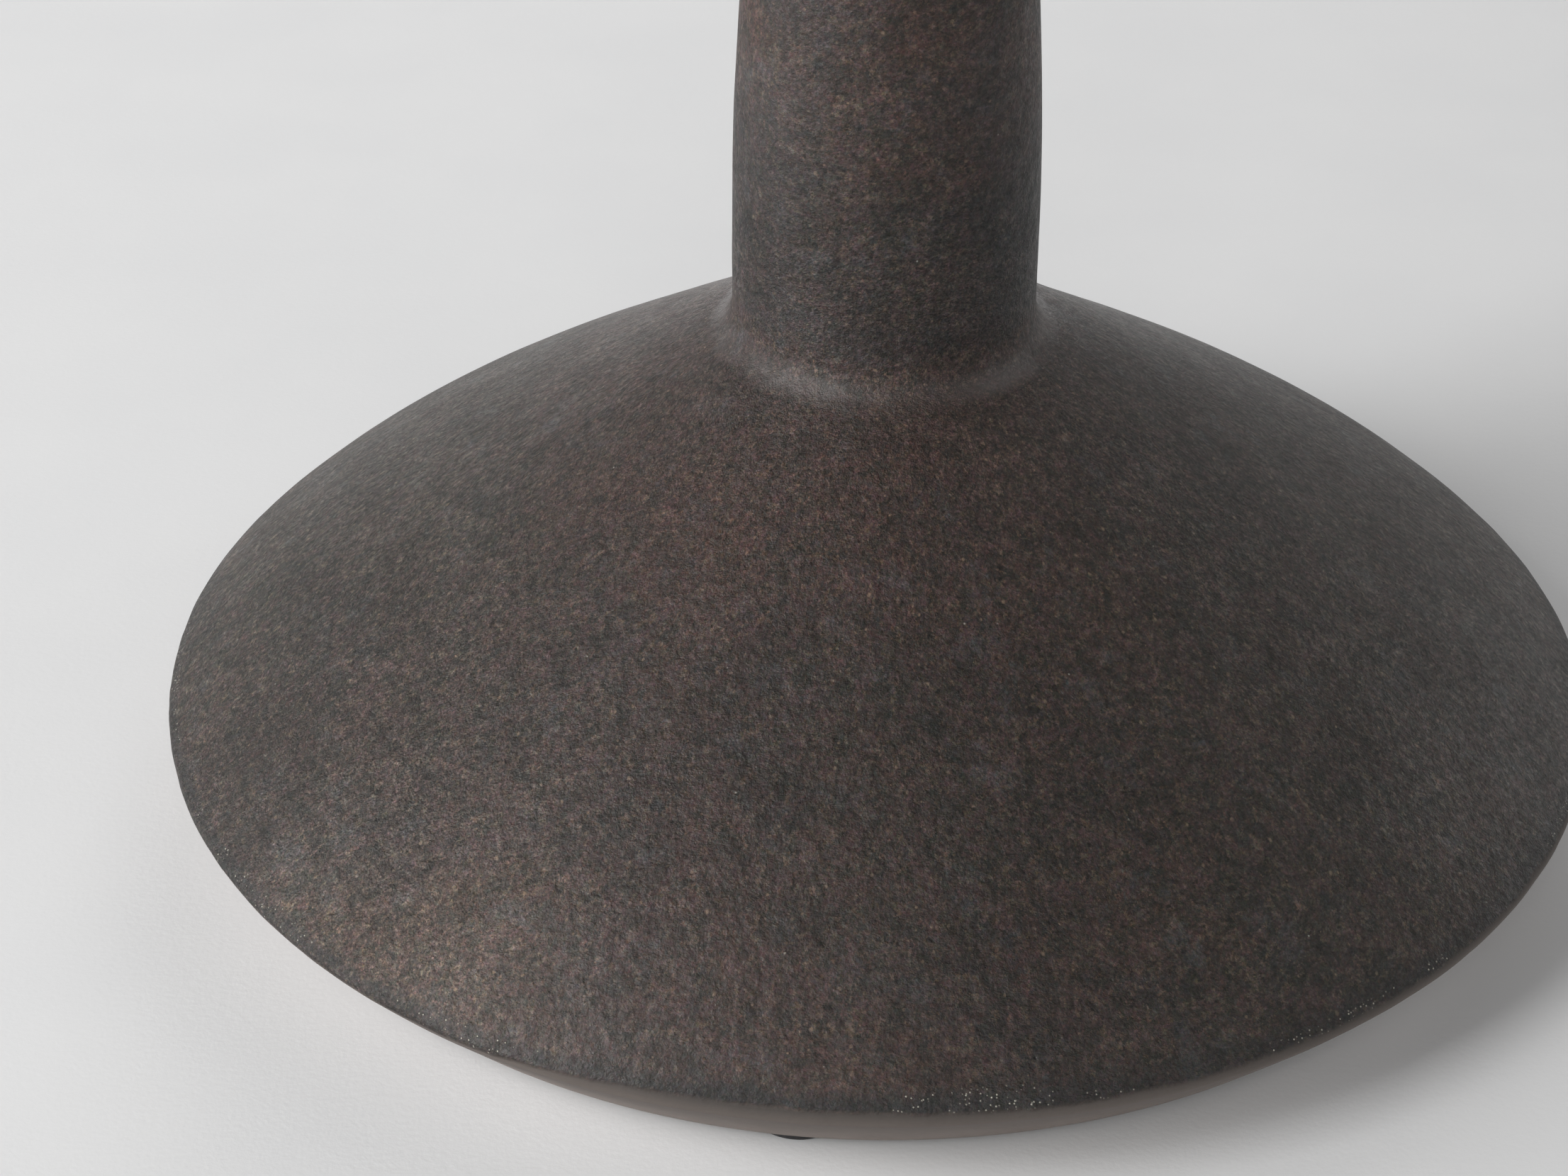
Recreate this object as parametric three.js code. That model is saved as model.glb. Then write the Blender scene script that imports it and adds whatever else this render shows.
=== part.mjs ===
// A stoneware vase: a wide, shallow, disc-shaped hollow body with a gently domed top and a firm edge
// all round, a short wall turned under that edge to a flat base on small pads, and a round neck.
// It is put together from sections, as a potter builds such a vase: a base dish, a shoulder dome
// luted to it along the widest edge, and a neck luted to the dome just outside its soft fillet.
// Millimetres, +Z up. The origin is on the standing surface, on the vase's axis.
import * as THREE from "three";

// ---- driving dimensions ------------------------------------------------------------------------
const EDGE_R = 145; // radius where the domed top reaches the edge
const EDGE_Z = 20.6; // height of that edge over the standing surface
const EDGE_ROUND = 1.9; // rounding of the firm edge
const WALL = 6.5; // thickness of the dome and of the turned-under wall
const FLOOR_T = 7.5; // thickness of the base

// Domed top: height over the edge = EDGE_R * (DOME_A - DOME_B * u - DOME_C * u^7), u = radius / EDGE_R
const DOME_A = 0.6564;
const DOME_B = 0.6;
const DOME_C = 0.0564;

const FOOT_R = 130.35; // radius where the flat underside ends
const FOOT_ROUND = 3; // rounding from the underside into the turned-under wall
const INNER_ROUND = 9; // hollow rounding between the base and the wall inside
const SEAM_Z = 18.7; // the dish and the dome meet at the widest point

// Neck: radius = EDGE_R * (NECK_A - NECK_B * s^2 - NECK_C * s^3), s = (height - NECK_Z) / EDGE_R
const NECK_Z = 98.5;
const NECK_A = 0.2052;
const NECK_B = 0.0523;
const NECK_C = 0.033;
const FILLET = 7; // soft fillet between neck and dome
const NECK_SEAM_R = 38; // the neck section ends here, just outside the fillet
const NECK_T = 6; // thickness of the neck at its foot
const NECK_OFF = 0.9; // the neck was set by hand: it stands this far to +X of the body's axis
const LIP_T = 4.6; // thickness of the neck at the mouth
const TOP_Z = 245; // height of the mouth

const PAD_COUNT = 4;
const PAD_R = 10;
const PAD_H = 2;
const PAD_CENTRE_R = 120.9; // the pads' centres lie on this circle
const PAD_FIRST = -95.8; // direction of the first pad in degrees: close to the front
const GAP = 0.3; // slip joint between two sections
const SEGMENTS = 64;

// ---- outlines ----------------------------------------------------------------------------------
const v2 = (r, z) => new THREE.Vector2(r, z);
const rad = THREE.MathUtils.degToRad;
const span = (a, b, n) =>
  Array.from({ length: n + 1 }, (_, i) => a + ((b - a) * i) / n);

const domeZ = (r) =>
  EDGE_Z + EDGE_R * (DOME_A - DOME_B * (r / EDGE_R) - DOME_C * (r / EDGE_R) ** 7);
const domeSlope = (r) => -(DOME_B + 7 * DOME_C * (r / EDGE_R) ** 6);
const neckR = (z) => {
  const s = Math.max(0, (z - NECK_Z) / EDGE_R);
  return EDGE_R * (NECK_A - NECK_B * s ** 2 - NECK_C * s ** 3);
};

// A point of the dome moved inwards by t, square to its surface
const under = (r, t) => {
  const a = Math.atan(-domeSlope(r));
  return v2(r - t * Math.sin(a), domeZ(r) - t * Math.cos(a));
};

// An arc's points: centre, radius, first and last direction in degrees
const arc = (c, q, a0, a1, n) =>
  span(a0, a1, n).map((a) =>
    v2(c.x + q * Math.cos(rad(a)), c.y + q * Math.sin(rad(a))),
  );

// The firm edge: an arc that leaves the dome at its own slope and ends on the turned-under wall
const edgeStartR = EDGE_R + 0.5;
const edgeA = Math.atan(-domeSlope(edgeStartR)); // how steeply the dome meets the edge
const edgeCentre = v2(
  edgeStartR - EDGE_ROUND * Math.sin(edgeA),
  domeZ(edgeStartR) - EDGE_ROUND * Math.cos(edgeA),
);
const wallA = rad(48.14); // how steeply the wall runs under
const edgeEnd = v2(
  edgeCentre.x + EDGE_ROUND * Math.sin(wallA),
  edgeCentre.y - EDGE_ROUND * Math.cos(wallA),
);
const footStart = v2(
  FOOT_R + FOOT_ROUND * Math.sin(wallA),
  PAD_H + FOOT_ROUND * (1 - Math.cos(wallA)),
);
const edgeDeg = THREE.MathUtils.radToDeg;

// ---- base dish: flat base, turned-under wall, up to the widest point ----------------------------
function baseDish() {
  const line = [v2(0, PAD_H), v2(60, PAD_H), v2(FOOT_R, PAD_H)];
  line.push(
    ...arc(v2(FOOT_R, PAD_H + FOOT_ROUND), FOOT_ROUND, -90, -90 + edgeDeg(wallA), 3).slice(1),
  );
  const top = SEAM_Z - GAP / 2;
  // up the wall, and round the lower half of the edge as far as the seam
  line.push(edgeEnd.clone());
  const seamDeg = edgeDeg(Math.asin((top - edgeCentre.y) / EDGE_ROUND));
  line.push(
    ...arc(edgeCentre, EDGE_ROUND, -90 + edgeDeg(wallA), seamDeg, 2).slice(1),
  );
  // inside: the wall's own thickness, then a hollow rounding down to the floor of the dish
  const innerAt = (z) => {
    const n = v2(-Math.sin(wallA), Math.cos(wallA)).multiplyScalar(WALL);
    const p = footStart.clone().add(n);
    return p.x + (z - p.y) / Math.tan(wallA);
  };
  const floor = PAD_H + FLOOR_T;
  line.push(v2(innerAt(top), top));
  const run = INNER_ROUND * Math.tan(wallA / 2);
  const cx = innerAt(floor) - run;
  line.push(
    ...arc(v2(cx, floor + INNER_ROUND), INNER_ROUND, -90 + edgeDeg(wallA), -90, 3),
  );
  line.push(v2(60, floor), v2(0, floor));
  return line;
}

// ---- shoulder dome: from the widest point up to the neck's joint --------------------------------
function shoulderDome() {
  const bottom = SEAM_Z + GAP / 2;
  const seamDeg = edgeDeg(Math.asin((bottom - edgeCentre.y) / EDGE_ROUND));
  const line = arc(edgeCentre, EDGE_ROUND, seamDeg, 90 - edgeDeg(edgeA), 3);
  const joint = NECK_SEAM_R + GAP / 2;
  for (const r of [141, 136, 129, 120, 109, 97, 84, 69, 54, joint])
    line.push(v2(r, domeZ(r)));
  for (const r of [joint, 60, 84, 104, 120, 132]) line.push(under(r, WALL));
  // the last inner point lies on the seam
  let r = 140;
  while (under(r, WALL).y > bottom) r += 0.01;
  line.push(v2(under(r, WALL).x, bottom));
  line.push(line[0].clone());
  return line;
}

// ---- neck: joint, fillet, shaft, lip and bore ---------------------------------------------------
function neck() {
  const joint = NECK_SEAM_R - GAP / 2;
  const slope = Math.atan(DOME_B); // the dome is close to a straight cone here
  const corner = v2(neckR(NECK_Z), domeZ(neckR(NECK_Z)));
  const reach = FILLET * Math.tan((Math.PI / 2 - slope) / 2);
  const c = v2(corner.x + FILLET, corner.y + reach);
  const line = [under(joint, WALL), v2(joint, domeZ(joint))];
  // fillet, from the dome up to the shaft
  line.push(...arc(c, FILLET, 270 - edgeDeg(slope), 180, 5));
  for (const z of [112, 124, 137, 151, 166, 181, 196, 211, 226, TOP_Z - 3.2])
    line.push(v2(neckR(z), z));
  // lip: a soft half round
  const m = neckR(TOP_Z - 3.2);
  const h = LIP_T / 2;
  const lipC = v2(m - h - 0.35, TOP_Z - h);
  line.push(...arc(lipC, h, 25, 155, 5));
  // bore, down to the underside
  const boreR = (z) =>
    neckR(z) -
    (LIP_T + ((NECK_T - LIP_T) * (TOP_Z - z)) / (TOP_Z - NECK_Z));
  for (const z of [TOP_Z - 4.2, 222, 198, 172, 144, 118]) line.push(v2(boreR(z), z));
  const k = 8; // rounding from the bore out to the underside of the dome
  const end = under(joint, WALL);
  const b = boreR(NECK_Z);
  const meetZ = end.y + (end.x - b) * Math.tan(slope);
  const reachIn = k * Math.tan((Math.PI / 2 - slope) / 2);
  line.push(
    ...arc(v2(b + k, meetZ + reachIn), k, 180, 270 - edgeDeg(slope), 3),
  );
  line.push(line[0].clone());
  return line;
}

// ---- materials ---------------------------------------------------------------------------------
const stoneware = (hex) =>
  new THREE.MeshStandardMaterial({ color: hex, roughness: 0.62, metalness: 0 });
const pad = () =>
  new THREE.MeshStandardMaterial({ color: 0x16161a, roughness: 0.85, metalness: 0 });

// ---- assembly ----------------------------------------------------------------------------------
const turned = (name, line, material, segments = SEGMENTS) => {
  const mesh = new THREE.Mesh(new THREE.LatheGeometry(line, segments), material);
  mesh.rotation.x = Math.PI / 2; // a lathe turns about Y: stand it up
  mesh.name = name;
  return mesh;
};

const vase = new THREE.Group();
vase.name = "stoneware_vase";
const dome = turned("shoulder_dome", shoulderDome(), stoneware(0x4a4340));
const shaft = turned("neck", neck(), stoneware(0x4c4542));
vase.add(turned("base_dish", baseDish(), stoneware(0x47403d)), dome, shaft);

// The neck stands a little off the axis, and the dome's middle leans over with it: fully at the joint,
// not at all from 60 mm outwards
shaft.position.x = NECK_OFF;
const at = dome.geometry.getAttribute("position");
for (let i = 0; i < at.count; i++) {
  const r = Math.hypot(at.getX(i), at.getZ(i));
  const w = 1 - THREE.MathUtils.smoothstep(r, 40, 60);
  at.setX(i, at.getX(i) + NECK_OFF * w);
}

for (let i = 0; i < PAD_COUNT; i++) {
  const a = rad(PAD_FIRST + (360 / PAD_COUNT) * i);
  const seat = new THREE.Group();
  seat.position.set(PAD_CENTRE_R * Math.cos(a), PAD_CENTRE_R * Math.sin(a), 0);
  const top = PAD_H - GAP;
  seat.add(
    turned(
      `foot_pad_${i + 1}`,
      [v2(0, 0), v2(PAD_R - 0.3, 0), v2(PAD_R, 0.4), v2(PAD_R, top - 0.2), v2(PAD_R - 0.4, top), v2(0, top)],
      pad(),
      32,
    ),
  );
  vase.add(seat);
}

export default vase;
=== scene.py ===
import math

import bpy
import numpy as np
from mathutils import Matrix, Vector


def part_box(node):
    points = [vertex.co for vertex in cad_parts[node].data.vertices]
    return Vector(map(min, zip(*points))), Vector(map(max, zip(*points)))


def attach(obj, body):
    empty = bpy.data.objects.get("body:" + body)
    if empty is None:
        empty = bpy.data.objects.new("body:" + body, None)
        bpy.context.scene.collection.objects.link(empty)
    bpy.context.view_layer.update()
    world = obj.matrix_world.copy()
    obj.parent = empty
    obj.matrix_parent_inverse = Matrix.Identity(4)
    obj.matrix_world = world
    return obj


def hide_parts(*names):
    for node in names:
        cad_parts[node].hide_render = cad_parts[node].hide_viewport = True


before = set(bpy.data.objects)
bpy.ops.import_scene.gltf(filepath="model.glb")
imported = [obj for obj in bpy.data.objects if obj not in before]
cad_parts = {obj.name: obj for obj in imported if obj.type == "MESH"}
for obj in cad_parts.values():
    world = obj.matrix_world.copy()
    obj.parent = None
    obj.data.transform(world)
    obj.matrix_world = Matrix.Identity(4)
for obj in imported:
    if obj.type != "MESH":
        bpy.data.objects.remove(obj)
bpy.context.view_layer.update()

MM = 0.001

# ------------------------------------------------------------------ the vase's outline (millimetres)
EDGE_R, EDGE_Z, EDGE_ROUND = 145.0, 20.6, 1.9
WALL, FLOOR_T = 6.5, 7.5
DOME_A, DOME_B, DOME_C = 0.6564, 0.6, 0.0564
FOOT_R, FOOT_ROUND, INNER_ROUND, SEAM_Z = 130.35, 3.0, 9.0, 18.7
NECK_Z, NECK_A, NECK_B, NECK_C = 98.5, 0.2052, 0.0523, 0.033
FILLET, NECK_SEAM_R, NECK_T, LIP_T, TOP_Z = 7.0, 38.0, 6.0, 4.6, 245.0
PAD_H, PAD_R, PAD_CENTRE_R, PAD_FIRST, PAD_COUNT = 2.0, 10.0, 120.9, -95.8, 4
WALL_A = math.radians(48.14)
NECK_OFF = 0.9  # the neck stands this far to +X of the body's axis, and the dome's middle leans over with it


def dome_z(r):
    u = np.asarray(r, float) / EDGE_R
    return EDGE_Z + EDGE_R * (DOME_A - DOME_B * u - DOME_C * u**7)


def dome_angle(r):
    return math.atan(DOME_B + 7 * DOME_C * (r / EDGE_R) ** 6)


def neck_r(z):
    s = np.maximum(0.0, (np.asarray(z, float) - NECK_Z) / EDGE_R)
    return EDGE_R * (NECK_A - NECK_B * s**2 - NECK_C * s**3)


def under(r, t):
    a = dome_angle(r)
    return (r - t * math.sin(a), float(dome_z(r)) - t * math.cos(a))


def arc(cx, cz, q, a0, a1, n):
    """n steps of an arc, ends included, angles in degrees."""
    a = np.radians(np.linspace(a0, a1, n + 1))
    return [(cx + q * math.cos(t), cz + q * math.sin(t)) for t in a]


def straight(p, q, step):
    """Points from p to q, q left out, about step apart."""
    n = max(1, int(round(math.hypot(q[0] - p[0], q[1] - p[1]) / step)))
    return [(p[0] + (q[0] - p[0]) * i / n, p[1] + (q[1] - p[1]) * i / n) for i in range(n)]


def outline():
    """The whole skin as one line: from the middle of the underside, up the outside, over the lip, down the bore
    and to the middle of the floor inside. Also gives the places where the sections meet."""
    line, marks = [], {}
    # underside
    line += straight((4.0, PAD_H), (FOOT_R - 8, PAD_H), 5.0)
    line += straight((FOOT_R - 8, PAD_H), (FOOT_R, PAD_H), 1.6)
    # foot rounding
    fa = math.degrees(WALL_A)
    line += arc(FOOT_R, PAD_H + FOOT_ROUND, FOOT_ROUND, -90, -90 + fa, 6)
    # turned-under wall up to the edge
    r0 = EDGE_R + 0.5
    ea = dome_angle(r0)
    ec = (r0 - EDGE_ROUND * math.sin(ea), float(dome_z(r0)) - EDGE_ROUND * math.cos(ea))
    wall_top = (ec[0] + EDGE_ROUND * math.sin(WALL_A), ec[1] - EDGE_ROUND * math.cos(WALL_A))
    last = line.pop()
    line += straight(last, wall_top, 1.1)
    # the firm edge; the base dish and the dome meet on its widest point
    seam = math.degrees(math.asin((SEAM_Z - ec[1]) / EDGE_ROUND))
    line += arc(*ec, EDGE_ROUND, -90 + fa, seam, 5)
    marks["edge_out"] = len(line) - 1
    line += arc(*ec, EDGE_ROUND, seam, 90 - math.degrees(ea), 6)[1:]
    # dome
    rs = np.concatenate([np.arange(r0 - 0.9, 139, -0.9), np.arange(139, NECK_SEAM_R + 0.8, -1.5)])
    line += [(r, float(dome_z(r))) for r in rs]
    line.append((NECK_SEAM_R, float(dome_z(NECK_SEAM_R))))
    marks["neck_out"] = len(line) - 1
    # fillet
    slope = math.atan(DOME_B)
    nr = float(neck_r(NECK_Z))
    corner = (nr, float(dome_z(nr)))
    reach = FILLET * math.tan((math.pi / 2 - slope) / 2)
    fill = arc(corner[0] + FILLET, corner[1] + reach, FILLET, 270 - math.degrees(slope), 180, 11)
    line += straight(line.pop(), fill[0], 1.0) + fill
    # shaft
    z_top = TOP_Z - 3.2
    zs = np.linspace(fill[-1][1], z_top, 92)[1:]
    line += [(float(neck_r(z)), z) for z in zs]
    # lip
    m, h = float(neck_r(z_top)), LIP_T / 2
    line += arc(m - h - 0.35, TOP_Z - h, h, 25, 155, 12)

    # bore
    def bore_r(z):
        return float(neck_r(z)) - (LIP_T + (NECK_T - LIP_T) * (TOP_Z - z) / (TOP_Z - NECK_Z))

    line += [(bore_r(z), z) for z in np.linspace(TOP_Z - 4.2, 112, 44)]
    end = under(NECK_SEAM_R, WALL)
    b, k = bore_r(NECK_Z), 8.0
    meet = end[1] + (end[0] - b) * math.tan(slope)
    reach_in = k * math.tan((math.pi / 2 - slope) / 2)
    line += arc(b + k, meet + reach_in, k, 180, 270 - math.degrees(slope), 8)
    line.append(end)
    marks["neck_in"] = len(line) - 1
    # underside of the dome, down to the edge's joint
    for r in np.linspace(NECK_SEAM_R, 141, 27)[1:]:
        p = under(r, WALL)
        if p[1] > SEAM_Z + 0.6:
            line.append(p)
    r = 135.0
    while under(r, WALL)[1] > SEAM_Z:
        r += 0.01
    line.append((under(r, WALL)[0], SEAM_Z))
    marks["edge_in"] = len(line) - 1
    # inside of the wall, and the floor
    foot = (FOOT_R + FOOT_ROUND * math.sin(WALL_A), PAD_H + FOOT_ROUND * (1 - math.cos(WALL_A)))
    p = (foot[0] - WALL * math.sin(WALL_A), foot[1] + WALL * math.cos(WALL_A))
    floor = PAD_H + FLOOR_T
    inner = lambda z: p[0] + (z - p[1]) / math.tan(WALL_A)
    cx = inner(floor) - INNER_ROUND * math.tan(WALL_A / 2)
    line += arc(cx, floor + INNER_ROUND, INNER_ROUND, -90 + fa, -90, 6)
    line += straight((cx - 4, floor), (4.0, floor), 8.0) + [(4.0, floor)]
    return np.array(line), marks


# ------------------------------------------------------------------ smooth seeded noise for the hand-made surface
_rng = np.random.default_rng(7231)
_TABLE = _rng.random((32, 32, 32)) * 2 - 1


def noise(p, scale):
    """Smooth value noise in [-1, 1] at points p (mm), features about scale mm across; it repeats every 32 of them."""
    q = p / scale + 100.0
    i = np.floor(q).astype(int)
    f = q - i
    f = f * f * f * (f * (f * 6 - 15) + 10)
    out = 0
    for dx in (0, 1):
        for dy in (0, 1):
            for dz in (0, 1):
                w = (
                    (f[..., 0] if dx else 1 - f[..., 0])
                    * (f[..., 1] if dy else 1 - f[..., 1])
                    * (f[..., 2] if dz else 1 - f[..., 2])
                )
                out = out + w * _TABLE[(i[..., 0] + dx) % 32, (i[..., 1] + dy) % 32, (i[..., 2] + dz) % 32]
    return out


NSEG = 360


def skin():
    """Vertices (rings x NSEG x 3, mm) of the whole skin with its slight unevenness, and their normals."""
    line, marks = outline()
    a = np.linspace(0, 2 * math.pi, NSEG, endpoint=False)
    ca, sa = np.cos(a), np.sin(a)

    def grid(pr, pz):
        return np.stack([pr[:, None] * ca, pr[:, None] * sa, np.repeat(pz[:, None], NSEG, 1)], -1)

    P = grid(line[:, 0], line[:, 1])

    def normals(P):
        du = np.roll(P, -1, 1) - np.roll(P, 1, 1)
        dv = np.empty_like(P)
        dv[1:-1] = P[2:] - P[:-2]
        dv[0] = P[1] - P[0]
        dv[-1] = P[-1] - P[-2]
        n = np.cross(du, dv)
        return n / np.linalg.norm(n, axis=-1, keepdims=True)

    N = normals(P)
    r, z = np.repeat(line[:, :1], NSEG, 1), np.repeat(line[:, 1:], NSEG, 1)
    # slow waviness of a thrown and trimmed form, then the faint dimpling of the dry glaze
    d = 0.20 * noise(P * [1, 1, 1.3], 46) + 0.09 * noise(P + 31, 17) + 0.035 * noise(P + 57, 6.5)
    # the rest faces stay true, and so does the widest point, which sets the size
    flat = np.clip((z - PAD_H) / 3.0, 0, 1)
    rim = np.clip(np.abs(r - (EDGE_R + 1)) / 5.0, 0.25, 1)
    lip = np.clip((TOP_Z - z) / 6.0, 0.3, 1)
    d = d * flat * rim * lip
    # the edge itself was softened by hand: it wanders a little inwards
    near = np.exp(-(((r - EDGE_R - 1) / 3.0) ** 2) - ((z - SEAM_Z) / 3.2) ** 2)
    d = d - near * (0.16 + 0.12 * noise(P + 11, 12) + 0.06 * noise(P + 77, 4))
    d = d - np.exp(-(((z - TOP_Z) / 2.5) ** 2)) * (0.08 + 0.05 * noise(P + 5, 9))
    P = P + N * d[..., None]
    lean = np.clip((60 - line[:, 0]) / 20, 0, 1)
    lean = lean * lean * (3 - 2 * lean)
    lean[: marks["edge_out"]] = 0
    lean[marks["edge_in"]:] = 0
    P[..., 0] += NECK_OFF * lean[:, None]
    return P, normals(P), marks


def section(name, rings, P, N, fans=()):
    """One closed body from the skin's ring ranges: each range's faces, the joint faces between them, and a fan at a pole."""
    verts, nrm, index = [], [], {}

    def ring(i):
        if i not in index:
            index[i] = len(verts) * 1
            verts.extend(P[i])
            nrm.extend(N[i])
        return index[i]

    quads, smooth_n = [], []
    j = np.arange(NSEG)
    k = (j + 1) % NSEG

    def band(i0, i1, joint=False):
        a, b = ring(i0), ring(i1)
        q = np.stack([a + j, a + k, b + k, b + j], 1)
        quads.append(q)
        smooth_n.append(np.full(NSEG, not joint))

    for lo, hi in rings:
        for i in range(lo, hi):
            band(i, i + 1)
    order = [r for r in rings]
    joints = []
    for (l0, h0), (l1, h1) in zip(order, order[1:]):
        joints.append((h0, l1))
    if len(rings) == 2 and not fans:
        joints.append((rings[1][1], rings[0][0]))
    if len(rings) == 1:
        joints.append((rings[0][1], rings[0][0]))
    for a, b in joints:
        band(a, b, True)
    quads = np.concatenate(quads)
    smooth_n = np.concatenate(smooth_n)
    faces = [tuple(int(v) for v in q) for q in quads]
    flags = list(smooth_n)
    for i, z_first in fans:
        base = ring(i)
        c = len(verts)
        verts.append(np.array([0, 0, P[i][:, 2].mean()]))
        nrm.append(np.array([0, 0, -1.0 if z_first else 1.0]))
        for m in range(NSEG):
            n = (m + 1) % NSEG
            faces.append((c, base + n, base + m) if z_first else (c, base + m, base + n))
            flags.append(True)
    me = bpy.data.meshes.new(name)
    me.from_pydata([tuple(v * MM) for v in verts], [], faces)
    me.update()
    # normals follow the whole skin, so a joint can't be seen as a line of light
    nrm = np.array(nrm)
    loops = np.zeros(len(me.loops), int)
    me.loops.foreach_get("vertex_index", loops)
    face_n = np.zeros(len(me.polygons) * 3)
    me.polygons.foreach_get("normal", face_n)
    face_n = face_n.reshape(-1, 3)
    start = np.zeros(len(me.polygons), int)
    total = np.zeros(len(me.polygons), int)
    me.polygons.foreach_get("loop_start", start)
    me.polygons.foreach_get("loop_total", total)
    owner = np.repeat(np.arange(len(me.polygons)), total)
    flags = np.array(flags)
    ln = nrm[loops].copy()
    hard = ~flags[owner]
    ln[hard] = face_n[owner][hard]
    me.polygons.foreach_set("use_smooth", np.ones(len(me.polygons), bool))
    me.normals_split_custom_set([tuple(v) for v in ln])
    me.validate()
    ob = bpy.data.objects.new(name, me)
    bpy.context.collection.objects.link(ob)
    return ob


P, N, marks = skin()
last = len(P) - 1
base = section("base_dish_fired", [(0, marks["edge_out"]), (marks["edge_in"], last)], P, N, fans=[(0, True), (last, False)])
dome = section("shoulder_dome_fired", [(marks["edge_out"], marks["neck_out"]), (marks["neck_in"], marks["edge_in"])], P, N)
neck = section("neck_fired", [(marks["neck_out"], marks["neck_in"])], P, N)
print("rings", len(P), "faces", [len(o.data.polygons) for o in (base, dome, neck)])


# ------------------------------------------------------------------ node helpers
class Tree:
    def __init__(self, name, base=(0.5, 0.5, 0.5)):
        self.mat = bpy.data.materials.new(name)
        self.mat.use_nodes = True
        self.nt = self.mat.node_tree
        self.nt.nodes.clear()
        self.out = self.nt.nodes.new("ShaderNodeOutputMaterial")
        self.bsdf = self.nt.nodes.new("ShaderNodeBsdfPrincipled")
        self.nt.links.new(self.bsdf.outputs[0], self.out.inputs[0])
        self.mat.diffuse_color = (*base, 1)
        tc = self.nt.nodes.new("ShaderNodeTexCoord")
        self.P = self.vec("MULTIPLY", tc.outputs["Object"], (1000, 1000, 1000))  # millimetres

    def put(self, sock, v):
        if hasattr(v, "is_linked") or isinstance(v, bpy.types.NodeSocket):
            self.nt.links.new(v, sock)
        elif v is not None:
            sock.default_value = v

    def vec(self, op, a, b=None):
        n = self.nt.nodes.new("ShaderNodeVectorMath")
        n.operation = op
        self.put(n.inputs[0], a)
        if b is not None:
            self.put(n.inputs[1], b)
        return n.outputs["Value" if op in ("LENGTH", "DOT_PRODUCT", "DISTANCE") else "Vector"]

    def m(self, op, a, b=None, c=None, clamp=False):
        n = self.nt.nodes.new("ShaderNodeMath")
        n.operation = op
        n.use_clamp = clamp
        for s, v in zip(n.inputs, (a, b, c)):
            if v is not None:
                self.put(s, v)
        return n.outputs[0]

    def noise(self, p, scale, detail=3.0, rough=0.55, distort=0.0, color=False):
        n = self.nt.nodes.new("ShaderNodeTexNoise")
        n.noise_dimensions = "3D"
        self.put(n.inputs["Vector"], p)
        n.inputs["Scale"].default_value = scale
        n.inputs["Detail"].default_value = detail
        n.inputs["Roughness"].default_value = rough
        n.inputs["Distortion"].default_value = distort
        return n.outputs["Color" if color else "Fac"]

    def cells(self, p, scale, randomness=1.0):
        n = self.nt.nodes.new("ShaderNodeTexVoronoi")
        n.voronoi_dimensions = "3D"
        n.feature = "F1"
        self.put(n.inputs["Vector"], p)
        n.inputs["Scale"].default_value = scale
        n.inputs["Randomness"].default_value = randomness
        return n.outputs["Distance"], n.outputs["Color"]

    def mapping(self, p, rot=(0, 0, 0), scale=(1, 1, 1), loc=(0, 0, 0)):
        n = self.nt.nodes.new("ShaderNodeMapping")
        self.put(n.inputs["Vector"], p)
        n.inputs["Rotation"].default_value = rot
        n.inputs["Scale"].default_value = scale
        n.inputs["Location"].default_value = loc
        return n.outputs[0]

    def ramp(self, v, lo, hi, out0=0.0, out1=1.0, smooth=True):
        n = self.nt.nodes.new("ShaderNodeMapRange")
        n.interpolation_type = "SMOOTHSTEP" if smooth else "LINEAR"
        n.clamp = True
        self.put(n.inputs["Value"], v)
        for k, x in (("From Min", lo), ("From Max", hi), ("To Min", out0), ("To Max", out1)):
            self.put(n.inputs[k], x)
        return n.outputs["Result"]

    def mix(self, fac, a, b, mode="MIX"):
        n = self.nt.nodes.new("ShaderNodeMix")
        n.data_type = "RGBA"
        n.blend_type = mode
        n.clamp_factor = True
        self.put(n.inputs["Factor"], fac)
        self.put(n.inputs[6], (*a, 1) if isinstance(a, tuple) and len(a) == 3 else a)
        self.put(n.inputs[7], (*b, 1) if isinstance(b, tuple) and len(b) == 3 else b)
        return n.outputs[2]

    def split(self, v):
        n = self.nt.nodes.new("ShaderNodeSeparateXYZ")
        self.put(n.inputs[0], v)
        return n.outputs

    def bump(self, height, distance, strength=1.0, normal=None):
        n = self.nt.nodes.new("ShaderNodeBump")
        n.inputs["Strength"].default_value = strength
        n.inputs["Distance"].default_value = distance
        self.put(n.inputs["Height"], height)
        if normal is not None:
            self.put(n.inputs["Normal"], normal)
        return n.outputs[0]


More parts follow.
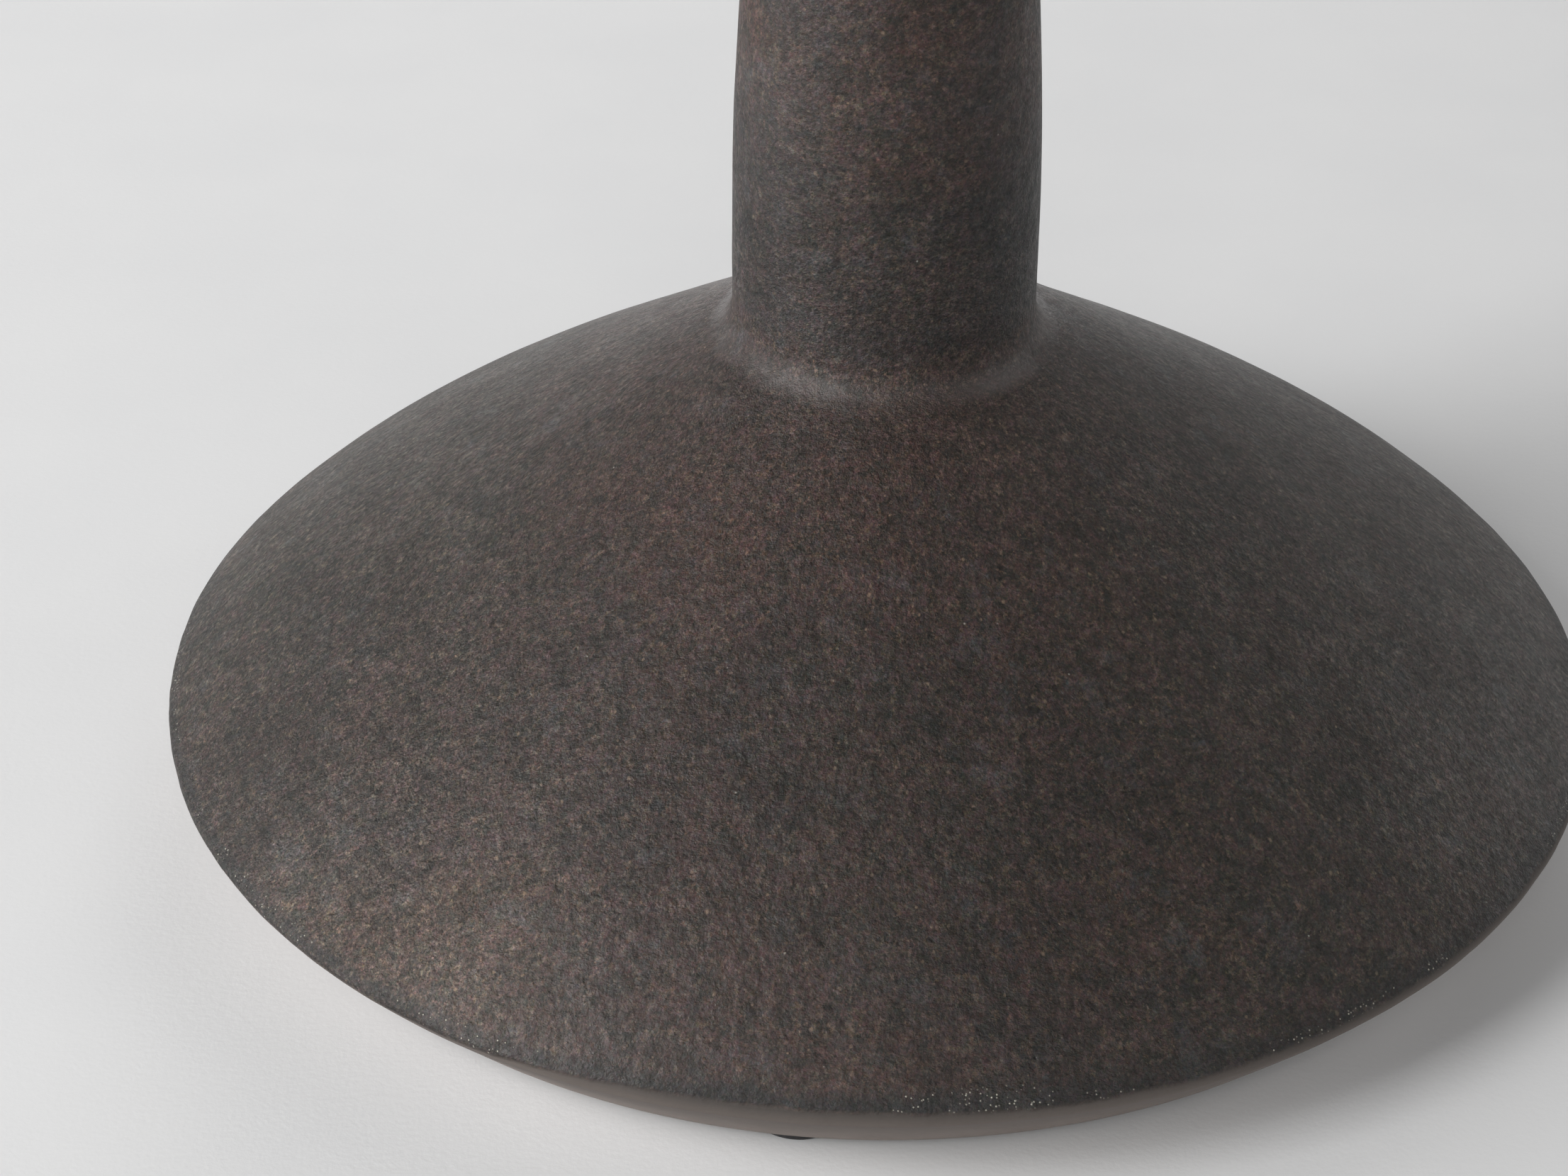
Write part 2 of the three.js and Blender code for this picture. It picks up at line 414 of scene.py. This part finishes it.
def stoneware():
    t = Tree("stoneware_glaze", (0.071, 0.058, 0.053))
    m, ramp, noise, mix = t.m, t.ramp, t.noise, t.mix
    P = t.P
    # everything is drawn on slightly wandering coordinates, so that nothing repeats or lines up
    wander = t.vec("SCALE", t.vec("SUBTRACT", noise(P, 0.06, 2, 0.5, color=True), (0.5, 0.5, 0.5)), None)
    wander.node.inputs["Scale"].default_value = 4.0
    W = t.vec("ADD", P, wander)
    # where it is: radius and height in millimetres
    x, y, z = t.split(P)
    xn = m("SUBTRACT", x, ramp(z, 80, 92, 0.0, NECK_OFF))
    r = m("SQRT", m("MULTIPLY_ADD", xn, xn, m("MULTIPLY", y, y)))
    # the grain is drawn out a little down the slope of the dome, where the glaze ran, and round the neck, where it
    # was brushed on as the pot turned
    spread = m("POWER", m("DIVIDE", m("MAXIMUM", r, 40.0), 95.0), -0.24)
    turn = ramp(z, 94, 126, 0.0, 1.0)
    spread = m("ADD", m("MULTIPLY", spread, m("SUBTRACT", 1.0, turn)), m("MULTIPLY", turn, 0.76))
    flow = t.nt.nodes.new("ShaderNodeCombineXYZ")
    t.put(flow.inputs[0], m("MULTIPLY", x, spread))
    t.put(flow.inputs[1], m("MULTIPLY", y, spread))
    t.put(flow.inputs[2], m("SUBTRACT", z, m("MULTIPLY", m("MAXIMUM", m("SUBTRACT", z, 100.0), 0.0), 0.14)))
    Q = flow.outputs[0]
    V = t.vec("ADD", Q, wander)
    # and it is harsher to the left and low on the neck, softer in front
    back = m("MULTIPLY", ramp(y, -70, -20, 0.0, 0.50), ramp(z, 112, 140, 1.0, 0.1))
    harsh = m("ADD", m("MAXIMUM", ramp(x, -40, -95, 0.0, 0.85), back), ramp(y, -105, -138, 0.0, -0.25))
    harsh = m("ADD", harsh, 1.0)

    # slow drift of the firing: browner and greyer areas some centimetres wide
    drift = noise(W, 0.034, 3, 0.55)
    col = mix(ramp(drift, 0.36, 0.66), (0.0332, 0.0255, 0.0224), (0.0378, 0.0255, 0.0212))

    # ragged clumps one to four millimetres wide: mauve brown, green slate, olive tan and a bluer slate
    cloud_a = noise(t.mapping(V, loc=(37, 11, 5)), 0.30, 5, 0.78)
    cloud_b = noise(t.mapping(V, loc=(91, 3, 47)), 0.55, 4, 0.80)
    cloud_c = noise(t.mapping(V, loc=(13, 67, 29)), 0.80, 4, 0.80)
    cloud_d = noise(t.mapping(V, loc=(59, 41, 83)), 0.24, 4, 0.75)
    frost = noise(t.mapping(W, loc=(21, 33, 12)), 0.11, 5, 0.72)
    col = mix(ramp(cloud_a, 0.49, 0.60, 0, 0.90), col, (0.0493, 0.0295, 0.0286))
    col = mix(ramp(cloud_a, 0.49, 0.38, 0, 0.90), col, (0.0198, 0.0180, 0.0150))
    col = mix(ramp(cloud_d, 0.54, 0.66, 0, 0.65), col, (0.0211, 0.0195, 0.0201))
    col = mix(ramp(cloud_b, 0.51, 0.64, 0, 0.82), col, (0.0792, 0.0554, 0.0414))
    col = mix(ramp(cloud_c, 0.48, 0.35, 0, 0.85), col, (0.0132, 0.0097, 0.0086))
    # paler frosty blooms a centimetre wide, and a slow unevenness of tone
    bloom = ramp(frost, 0.54, 0.70)
    col = mix(m("MULTIPLY", bloom, 0.60), col, (0.0546, 0.0493, 0.0506))
    slow = noise(t.mapping(W, loc=(64, 7, 31)), 0.075, 3, 0.60)

    # short wisps, as a dry glaze crystallises in: stretched grain in four directions
    wisps = None
    for i, rot in enumerate(((0.3, 0.9, 0.4), (1.2, 0.2, 2.1), (0.7, 2.2, 1.1), (2.5, 0.6, 0.1))):
        s = noise(t.mapping(V, rot=rot, scale=(0.75, 2.1, 2.1), loc=(13 * i, 7 * i, 3)), 1.0, 2, 0.5)
        w = ramp(s, 0.55, 0.76)
        wisps = w if wisps is None else m("MAXIMUM", wisps, w)
    col = mix(m("MULTIPLY", wisps, m("MULTIPLY_ADD", ramp(cloud_a, 0.42, 0.60), 0.30, 0.15)), col, (0.0704, 0.0519, 0.0440))

    # grain: each grit from a quarter to a half of a millimetre has its own tone
    gd1, gc1 = t.cells(V, 1.75)
    gd2, gc2 = t.cells(t.mapping(Q, loc=(5, 1, 9)), 3.4)
    k1, k2 = t.split(gc1), t.split(gc2)
    g1 = noise(t.mapping(Q, loc=(3, 9, 27)), 1.3, 3, 0.75)
    grain = m("ADD", m("MULTIPLY", m("SUBTRACT", k1[0], 0.5), 0.42), m("MULTIPLY", m("SUBTRACT", k2[0], 0.5), 0.60))
    grain = m("ADD", grain, m("MULTIPLY", m("SUBTRACT", g1, 0.5), 1.3))
    grain = m("MULTIPLY", grain, harsh)
    grain = m("ADD", grain, m("MULTIPLY", m("SUBTRACT", slow, 0.5), 0.9))
    gain = m("POWER", 2.718, grain)
    magenta = m("SUBTRACT", m("MULTIPLY_ADD", k1[1], 0.5, m("MULTIPLY", k2[1], 0.5)), 0.5)
    yellow = m("SUBTRACT", m("MULTIPLY_ADD", k1[2], 0.5, m("MULTIPLY", k2[2], 0.5)), 0.5)
    cc = t.nt.nodes.new("ShaderNodeCombineColor")
    t.put(cc.inputs[0], m("MULTIPLY", gain, m("MULTIPLY_ADD", magenta, 0.45, m("MULTIPLY_ADD", yellow, 0.15, 1.0))))
    t.put(cc.inputs[1], gain)
    t.put(cc.inputs[2], m("MULTIPLY", gain, m("MULTIPLY_ADD", magenta, 0.22, m("MULTIPLY_ADD", yellow, -0.35, 1.0))))
    col = mix(1.0, col, cc.outputs[0], "MULTIPLY")

    # tan flecks, and a very few pale specks
    d1, c1 = t.cells(V, 0.66)
    pick = t.split(c1)
    size = m("MULTIPLY_ADD", pick[1], 0.20, 0.12)
    fleck = m("MULTIPLY", ramp(d1, size, m("MULTIPLY", size, 0.45)), ramp(pick[0], 0.72, 0.80))
    fleck = m("MULTIPLY", fleck, m("MULTIPLY_ADD", ramp(cloud_b, 0.42, 0.60), 0.55, 0.20))
    col = mix(fleck, col, (0.170, 0.118, 0.084))
    d2, c2 = t.cells(t.mapping(P, loc=(17, 5, 9)), 0.42)
    pick2 = t.split(c2)
    speck = m("MULTIPLY", ramp(d2, 0.11, 0.04), ramp(pick2[0], 0.975, 0.985))
    col = mix(m("MULTIPLY", speck, 0.70), col, (0.30, 0.28, 0.25))

    # broad changes of hue: slate on the lower neck, browner round its foot, greyer to the right
    azim = m("ARCTAN2", y, x)
    shaft = ramp(r, 42, 34)
    up = m("MULTIPLY", m("MULTIPLY", ramp(z, 101, 108), ramp(z, 152, 130)), shaft)
    col = mix(m("MULTIPLY", up, ramp(drift, 0.30, 0.55, 1.0, 0.6)), col, (0.70, 0.815, 0.855), "MULTIPLY")
    patch = noise(t.mapping(W, loc=(77, 18, 52)), 0.045, 3, 0.6)
    # darker blue slate on the lower neck: real patches of it, plus the whole right side of the neck, where the
    # darkening is painted shade on the side away from the light
    slate_and_right_shade = m("MULTIPLY", m("MULTIPLY", shaft, ramp(z, 100, 106)), m("MAXIMUM", ramp(patch, 0.50, 0.62), ramp(x, 12, 24)))
    col = mix(m("MULTIPLY", slate_and_right_shade, 0.34), col, mix(1.0, (0.0235, 0.0225, 0.0238), cc.outputs[0], "MULTIPLY"))
    col = mix(m("MULTIPLY", m("MULTIPLY", shaft, ramp(z, 134, 122)), ramp(x, -15, -23)), col, (0.86, 0.86, 0.87), "MULTIPLY")
    rust = m("MULTIPLY", m("MULTIPLY", shaft, ramp(z, 128, 142)), ramp(patch, 0.50, 0.40))
    col = mix(rust, col, (1.10, 1.02, 0.98), "MULTIPLY")
    halo = m("MULTIPLY", m("MULTIPLY", ramp(r, 86, 58), ramp(r, 36, 43)), ramp(z, 60, 66))
    halo = m("MULTIPLY", m("MULTIPLY", halo, ramp(y, -12, -42)), ramp(x, 26, 2))
    col = mix(m("MULTIPLY", halo, ramp(drift, 0.35, 0.60, 0.6, 1.0)), col, (1.045, 0.98, 0.965), "MULTIPLY")
    front = m("MULTIPLY", m("MULTIPLY", ramp(y, -68, -86), ramp(r, 138, 124)), m("MULTIPLY", ramp(x, -28, -12), ramp(x, 26, 14)))
    col = mix(front, col, (0.945, 0.995, 0.995), "MULTIPLY")
    col = mix(ramp(x, 5, 80), col, (0.89, 0.99, 0.975), "MULTIPLY")
    col = mix(ramp(x, -35, -95), col, (0.94, 1.0, 0.98), "MULTIPLY")
    col = mix(m("MULTIPLY", m("MULTIPLY", ramp(y, -60, -10), ramp(r, 62, 84)), ramp(x, 60, -10)), col, (0.94, 0.995, 0.99), "MULTIPLY")
    col = mix(m("MULTIPLY", m("MULTIPLY", ramp(y, -60, -95), ramp(r, 102, 122)), m("MULTIPLY", ramp(x, 90, 40), ramp(azim, -2.05, -1.85))), col, (0.975, 0.955, 0.945), "MULTIPLY")

    # where the glaze lies thicker or thinner: a few broad, ragged patches
    ragged = m("MULTIPLY", m("SUBTRACT", noise(t.mapping(P, loc=(3, 44, 8)), 0.05, 3, 0.6), 0.5), 44.0)

    def patch_at(cx, cy, radius):
        dx, dy = m("SUBTRACT", x, float(cx)), m("SUBTRACT", y, float(cy))
        d = m("SQRT", m("MULTIPLY_ADD", dx, dx, m("MULTIPLY", dy, dy)))
        return m("MULTIPLY", ramp(m("ADD", d, ragged), radius, 0.15 * radius), ramp(z, 15, 18))

    for cx, cy, radius, tint in (
        (-31, -90, 34, (0.81, 0.825, 0.83)),
        (24, -98, 38, (0.84, 0.865, 0.87)),
        (25, -138, 26, (0.75, 0.77, 0.78)),
        (-121, -64, 34, (0.80, 0.80, 0.79)),
        (-108, -34, 25, (0.84, 0.84, 0.845)),
        (-56, -20, 40, (0.86, 0.885, 0.89)),
    ):
        col = mix(patch_at(cx, cy, radius), col, tint, "MULTIPLY")
    # painted highlight: paler and more golden along the front left of the rim, where the light catches it
    painted_rim_highlight = m("MULTIPLY", ramp(azim, -2.62, -2.30), ramp(azim, -1.90, -2.12))
    inner = m("MULTIPLY_ADD", ragged, 0.20, m("SUBTRACT", r, ramp(azim, -2.32, -2.12, 131.0, 116.0)))
    painted_rim_highlight = m("MULTIPLY", m("MULTIPLY", painted_rim_highlight, ramp(inner, -1, 9)), ramp(r, 147, 144))
    col = mix(painted_rim_highlight, col, (1.41, 1.335, 1.24), "MULTIPLY")

    # glaze breaks thin and paler in the neck's fillet, with a painted highlight on top: the paleness is made strongest
    # at the front left and on the right, where light glints in the hollow
    fd = m("SQRT", m("MULTIPLY_ADD", m("SUBTRACT", r, 33.0), m("SUBTRACT", r, 33.0),
                     m("MULTIPLY", m("SUBTRACT", z, 97.5), m("SUBTRACT", z, 97.5))))
    fillet_thin_glaze_and_highlight = m("MULTIPLY", ramp(fd, 3.8, 0.7), ramp(noise(W, 0.09, 3, 0.6), 0.35, 0.65, 0.35, 1.0))
    fillet_thin_glaze_and_highlight = m("MULTIPLY", fillet_thin_glaze_and_highlight, m("MULTIPLY", m("ADD", ramp(azim, -1.62, -1.90, 0.42, 1.45), ramp(azim, -1.20, -0.85, 0.0, 0.80)), ramp(azim, -2.55, -2.15, 0.45, 1.0)))
    col = mix(m("MULTIPLY", fillet_thin_glaze_and_highlight, 0.44), col, (0.112, 0.100, 0.097))

    # the edge: just above it the glaze gathers in a slate roll a few millimetres wide, without the brown mottling
    # the height where the glaze stops wanders round the edge: highest in front, down at the widest point to the left
    stop = m("ADD", ramp(azim, -2.16, -1.78, 18.45, 20.45), ramp(azim, -1.62, -1.28, 0.0, -0.55))
    stop = m("ADD", stop, ramp(azim, 0.3, 2.6, 0.0, -1.45))
    stop = m("MULTIPLY_ADD", m("SUBTRACT", noise(P, 0.10, 3, 0.6), 0.5), 0.9, stop)
    over = m("SUBTRACT", z, stop)
    above = ramp(over, -0.15, 0.35)
    run = m("SUBTRACT", 145.0, r)
    run = m("MULTIPLY_ADD", m("SUBTRACT", noise(W, 0.12, 3, 0.6), 0.5), 3.0, run)
    run = m("MULTIPLY", run, ramp(azim, -2.05, -1.75, 1.8, 1.0))
    roll = m("MULTIPLY", ramp(run, 3.3, 0.7), above)
    roll = m("MULTIPLY", roll, ramp(r, 134, 138))
    slate = mix(1.0, (0.0190, 0.0178, 0.0170), cc.outputs[0], "MULTIPLY")
    roll = m("MULTIPLY", roll, m("MULTIPLY", ramp(azim, -2.00, -1.70, 0.62, 0.90), ramp(azim, -1.45, -1.20, 1.0, 0.70)))
    col = mix(roll, col, slate)
    # small glassy crystals float out along the roll, in clusters; their bright colour is a painted glint of light
    # catching them
    d3, c3 = t.cells(t.mapping(P, loc=(2, 8, 1)), 1.35)
    pick3 = t.split(c3)
    cluster = m("MULTIPLY", ramp(noise(t.mapping(P, loc=(9, 4, 2)), 0.055, 2, 0.5), 0.50, 0.62),
                m("MULTIPLY_ADD", ramp(azim, -1.34, -1.25), 1.0, ramp(azim, -2.65, -2.75)))
    for a0, a1, much in ((-2.61, -2.34, 0.45), (-2.18, -1.99, 0.42), (-1.53, -1.34, 1.0)):
        here = m("MULTIPLY", ramp(azim, a0 - 0.03, a0 + 0.04, 0.0, much), ramp(azim, a1 + 0.03, a1 - 0.05))
        cluster = m("MAXIMUM", cluster, here)
    reach = m("ADD", ramp(azim, -1.78, -1.58, 1.3, 2.5), ramp(azim, -1.40, -1.30, 0.0, -1.9))
    strip = m("MULTIPLY", ramp(m("SUBTRACT", m("SUBTRACT", 145.0, r), reach), 0.5, -0.4), above)
    many = m("MULTIPLY_ADD", cluster, -0.78, 1.0)
    crystal_painted_glint = m("MULTIPLY", ramp(d3, 0.31, 0.12), ramp(m("SUBTRACT", pick3[0], many), 0.0, 0.03))
    crystal_painted_glint = m("MULTIPLY", crystal_painted_glint, strip)
    col = mix(m("MULTIPLY", crystal_painted_glint, m("MULTIPLY_ADD", pick3[1], 0.6, 0.4)), col, (0.40, 0.38, 0.32))

    # from the edge down the foot is left bare: smooth, paler mauve-grey clay, with grog showing underneath
    wall = m("SUBTRACT", r, m("MULTIPLY_ADD", z, 0.896, 128.54))
    line = m("MULTIPLY_ADD", m("SUBTRACT", noise(P, 0.45, 3, 0.6), 0.5), 0.5, over)
    bare = m("MULTIPLY", ramp(line, 0.42, -0.42), m("MULTIPLY", ramp(wall, -4.5, -2.5), ramp(r, 128, 130)))
    bare = m("MAXIMUM", bare, ramp(z, 2.75, 2.35))
    clay_n = noise(P, 0.8, 4, 0.7)
    clay = mix(ramp(noise(W, 0.10, 3, 0.6), 0.32, 0.68), (0.186, 0.157, 0.141), (0.216, 0.183, 0.165))
    clay = mix(ramp(clay_n, 0.35, 0.70, 0, 0.30), clay, (0.258, 0.218, 0.193))
    # painted shade: the bare clay is darkened towards the top of the foot, under the overhanging edge
    clay = mix(ramp(z, 17.6, 5.5, 1.0, 0.0, smooth=False), clay, (0.120, 0.101, 0.090))
    clay = mix(ramp(z, 18.0, 20.1, 0.0, 1.0, smooth=False), clay, (0.053, 0.045, 0.040))
    clay_d, clay_c = t.cells(P, 0.5)
    grog = m("MULTIPLY", ramp(clay_d, 0.20, 0.1), ramp(t.split(clay_c)[0], 0.86, 0.90))
    clay = mix(m("MULTIPLY", grog, ramp(z, 6.0, 3.0, 0.12, 0.75)), clay, (0.045, 0.036, 0.032))
    col = mix(bare, col, clay)
    t.put(t.bsdf.inputs["Base Color"], col)

    # gloss: a dry satin that varies with the grit; the crystals are glassy, the bare clay dead matt
    rough = m("MULTIPLY_ADD", m("SUBTRACT", g1, 0.5), -0.45, 0.53)
    rough = m("MULTIPLY_ADD", m("SUBTRACT", cloud_b, 0.5), -0.45, rough)
    rough = m("MULTIPLY_ADD", m("SUBTRACT", slow, 0.5), -0.20, rough)
    rough = m("MULTIPLY_ADD", bloom, -0.05, rough)
    rough = m("ADD", rough, m("MULTIPLY", fleck, 0.08))
    rough = m("MULTIPLY", rough, m("MULTIPLY_ADD", crystal_painted_glint, -0.5, 1.0))
    rough = m("MULTIPLY_ADD", fillet_thin_glaze_and_highlight, -0.15, rough)
    rough = m("MULTIPLY_ADD", m("SUBTRACT", 0.72, rough), bare, rough, clamp=True)
    t.put(t.bsdf.inputs["Roughness"], rough)
    t.bsdf.inputs["IOR"].default_value = 1.5
    t.bsdf.inputs["Specular IOR Level"].default_value = 0.31

    # relief: a fine dry tooth over a faint orange peel
    peel = noise(t.mapping(Q, loc=(4, 4, 4)), 0.33, 2, 0.5)
    tooth = noise(t.mapping(Q, loc=(8, 1, 6)), 0.9, 2, 0.60)
    nip = noise(t.mapping(Q, loc=(2, 6, 5)), 2.6, 2, 0.6)
    pits_d, pits_c = t.cells(t.mapping(P, loc=(1, 31, 4)), 0.30)
    pit = m("MULTIPLY", ramp(pits_d, 0.12, 0.03), ramp(t.split(pits_c)[0], 0.93, 0.95))
    h = m("MULTIPLY_ADD", peel, 0.38, m("MULTIPLY", tooth, 0.20))
    h = m("MULTIPLY_ADD", m("MULTIPLY", nip, harsh), 0.12, h)
    h = m("MULTIPLY_ADD", wisps, 0.03, h)
    h = m("SUBTRACT", h, m("MULTIPLY", pit, 0.15))
    h = m("MULTIPLY_ADD", crystal_painted_glint, 0.1, h)
    h = m("MULTIPLY", h, m("MULTIPLY_ADD", bare, -0.72, 1.0))
    t.put(t.bsdf.inputs["Normal"], t.bump(h, 0.001, 1.0))
    return t.mat


def pad_rubber():
    t = Tree("pad_rubber", (0.012, 0.012, 0.014))
    m, ramp, noise, mix = t.m, t.ramp, t.noise, t.mix
    n1 = noise(t.P, 1.6, 4, 0.7)
    n2 = noise(t.P, 0.30, 2, 0.5)
    col = mix(ramp(n1, 0.3, 0.7), (0.010, 0.010, 0.012), (0.024, 0.023, 0.024))
    dust = m("MULTIPLY", ramp(n2, 0.52, 0.72), ramp(n1, 0.50, 0.62))
    col = mix(m("MULTIPLY", dust, 0.45), col, (0.085, 0.080, 0.074))
    t.put(t.bsdf.inputs["Base Color"], col)
    t.put(t.bsdf.inputs["Roughness"], m("MULTIPLY_ADD", n1, 0.25, 0.62, clamp=True))
    t.put(t.bsdf.inputs["Normal"], t.bump(n1, 0.00012, 1.0))
    return t.mat


glaze, rubber = stoneware(), pad_rubber()
for ob, node in ((base, "base_dish"), (dome, "shoulder_dome"), (neck, "neck")):
    ob.data.materials.append(glaze)
    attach(ob, "root")
    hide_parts(node)


# ------------------------------------------------------------------ foot pads
def foot_pad(i):
    """A soft stick-on pad: a disc with a rounded rim that bulges a little under the vase's weight, lightly dished face."""
    name = f"foot_pad_{i + 1}"
    lo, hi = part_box(name)
    cx, cy = (lo[0] + hi[0]) / 2 / MM, (lo[1] + hi[1]) / 2 / MM
    top = PAD_H
    prof = [(0.5, 0.05), (3, 0.04), (6, 0.02), (8.2, 0.0), (9.0, 0.02), (9.5, 0.16), (9.82, 0.42), (9.97, 0.8),
            (9.97, 1.1), (9.85, 1.45), (9.62, 1.75), (9.3, 1.93), (8.6, top), (5, top), (0.5, top)]
    n = 72
    a = np.linspace(0, 2 * math.pi, n, endpoint=False)
    verts, faces = [], []
    for r, z in prof:
        w = 1 + 0.004 * np.sin(3 * a + i) + 0.003 * np.sin(7 * a + 2 * i)
        rr = np.minimum(r * w, PAD_R - 0.005)
        verts += [(cx + q * math.cos(t), cy + q * math.sin(t), z) for q, t in zip(rr, a)]
    for k in range(len(prof) - 1):
        for j in range(n):
            b, c = k * n, (k + 1) * n
            faces.append((b + j, b + (j + 1) % n, c + (j + 1) % n, c + j))
    c0 = len(verts)
    verts += [(cx, cy, prof[0][1]), (cx, cy, top)]
    e = (len(prof) - 1) * n
    for j in range(n):
        faces.append((c0, (j + 1) % n, j))
        faces.append((c0 + 1, e + j, e + (j + 1) % n))
    me = bpy.data.meshes.new(name + "_soft")
    me.from_pydata([tuple(np.array(v) * MM) for v in verts], [], faces)
    me.polygons.foreach_set("use_smooth", np.ones(len(me.polygons), bool))
    me.update()
    ob = bpy.data.objects.new(name + "_soft", me)
    bpy.context.collection.objects.link(ob)
    ob.data.materials.append(rubber)
    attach(ob, "root")
    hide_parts(name)
    return ob


pads = [foot_pad(i) for i in range(PAD_COUNT)]


# ------------------------------------------------------------------ floor, light, camera
def floor_material():
    t = Tree("floor_pale", (0.7, 0.7, 0.7))
    n = t.noise(t.P, 0.02, 3, 0.5)
    f = t.noise(t.P, 0.6, 3, 0.6)
    col = t.mix(t.ramp(n, 0.3, 0.7), (0.700, 0.700, 0.703), (0.715, 0.714, 0.715))
    t.put(t.bsdf.inputs["Base Color"], col)
    t.bsdf.inputs["Roughness"].default_value = 0.75
    t.bsdf.inputs["IOR"].default_value = 1.35
    t.put(t.bsdf.inputs["Normal"], t.bump(f, 0.00005, 1.0))
    return t.mat


me = bpy.data.meshes.new("studio_floor")
FLOOR_R, FLOOR_N = 1.6, 128
ring = [(FLOOR_R * math.cos(2 * math.pi * i / FLOOR_N), FLOOR_R * math.sin(2 * math.pi * i / FLOOR_N), 0) for i in range(FLOOR_N)]
me.from_pydata(ring, [], [tuple(range(FLOOR_N))])
studio_floor = bpy.data.objects.new("studio_floor", me)
bpy.context.collection.objects.link(studio_floor)
studio_floor.data.materials.append(floor_material())

world = bpy.data.worlds.new("studio")
bpy.context.scene.world = world
world.use_nodes = True
world.node_tree.nodes["Background"].inputs[0].default_value = (1.0, 1.0, 1.0, 1)
world.node_tree.nodes["Background"].inputs[1].default_value = 0.02
# beyond the floor's end a plain pale wall is seen, which throws no light of its own on the vase
wall = world.node_tree.nodes.new("ShaderNodeBackground")
wall.inputs[0].default_value = (0.68, 0.68, 0.685, 1)
seen = world.node_tree.nodes.new("ShaderNodeLightPath")
pick = world.node_tree.nodes.new("ShaderNodeMixShader")
world.node_tree.links.new(seen.outputs["Is Camera Ray"], pick.inputs[0])
world.node_tree.links.new(world.node_tree.nodes["Background"].outputs[0], pick.inputs[1])
world.node_tree.links.new(wall.outputs[0], pick.inputs[2])
world.node_tree.links.new(pick.outputs[0], world.node_tree.nodes["World Output"].inputs[0])


def area(name, azimuth, elevation, distance, size, watts, color=(1, 1, 1)):
    """A soft panel aimed at the vase. Azimuth 0 is the camera's side, 90 the vase's right, 180 behind it."""
    a, e = math.radians(azimuth), math.radians(elevation)
    way = Vector((math.sin(a) * math.cos(e), -math.cos(a) * math.cos(e), math.sin(e)))
    light = bpy.data.lights.new(name, "AREA")
    light.shape = "RECTANGLE"
    light.size, light.size_y = size
    light.energy = watts
    light.color = color
    ob = bpy.data.objects.new(name, light)
    bpy.context.collection.objects.link(ob)
    ob.location = way * distance + Vector((0, 0, 0.05))
    ob.rotation_mode = "QUATERNION"
    ob.rotation_quaternion = (-way).to_track_quat("-Z", "Y")
    return ob


# a big soft panel to the front left does most of the work; weak low ones all round stand for the pale room
LIGHTS = [
    ("key_front_left", -60, 35, 2.5, (1.1, 1.1), 42.6),
    ("left_low", -90, 12, 2.5, (1.1, 1.1), 24.7),
    ("left_high", -90, 35, 2.5, (1.1, 1.1), 5.8),
    ("front_left_low", -60, 12, 2.5, (1.1, 1.1), 20.7),
    ("front_low", -30, 12, 2.5, (1.1, 1.1), 2.5),
    ("front", 0, 35, 2.5, (1.1, 1.1), 13.6),
    ("front_right", 30, 35, 2.5, (1.1, 1.1), 2.4),
    ("front_right_low", 30, 12, 2.5, (1.1, 1.1), 1.0),
    ("right_low", 60, 12, 2.5, (1.1, 1.1), 8.1),
    ("right_back_low", 120, 12, 2.5, (1.1, 1.1), 10.5),
    ("right_back_high", 150, 35, 2.5, (1.1, 1.1), 4.5),
    ("back_high", 180, 35, 2.5, (1.1, 1.1), 3.6),
    ("back_low", 180, 12, 2.5, (1.1, 1.1), 21.4),
    ("back_left_low", 210, 12, 2.5, (1.1, 1.1), 6.1),
]
for spec in LIGHTS:
    area(*spec)

cam_data = bpy.data.cameras.new("camera")
cam = bpy.data.objects.new("camera", cam_data)
bpy.context.collection.objects.link(cam)
D, H, yaw, pitch, roll = 3.83448, 2.54989, -0.0339212, 0.569921, 0.00243632
fwd = Vector((math.sin(yaw) * math.cos(pitch), math.cos(yaw) * math.cos(pitch), -math.sin(pitch)))
right = Vector((math.cos(yaw), -math.sin(yaw), 0))
down = fwd.cross(right)
right2 = math.cos(roll) * right + math.sin(roll) * down
down2 = -math.sin(roll) * right + math.cos(roll) * down
rot = Matrix((right2, -down2, -fwd)).transposed()
cam.matrix_world = Matrix.Translation(Vector((0, -D * EDGE_R, H * EDGE_R + EDGE_Z)) * MM) @ rot.to_4x4()
cam_data.sensor_fit = "HORIZONTAL"
cam_data.sensor_width = 36.0
cam_data.lens = 4500 * 36.0 / 2212
cam_data.clip_start, cam_data.clip_end = 0.01, 50
cam_data.dof.use_dof = False
bpy.context.scene.camera = cam
bpy.context.scene.view_settings.view_transform = "Standard"
bpy.context.scene.view_settings.look = "None"
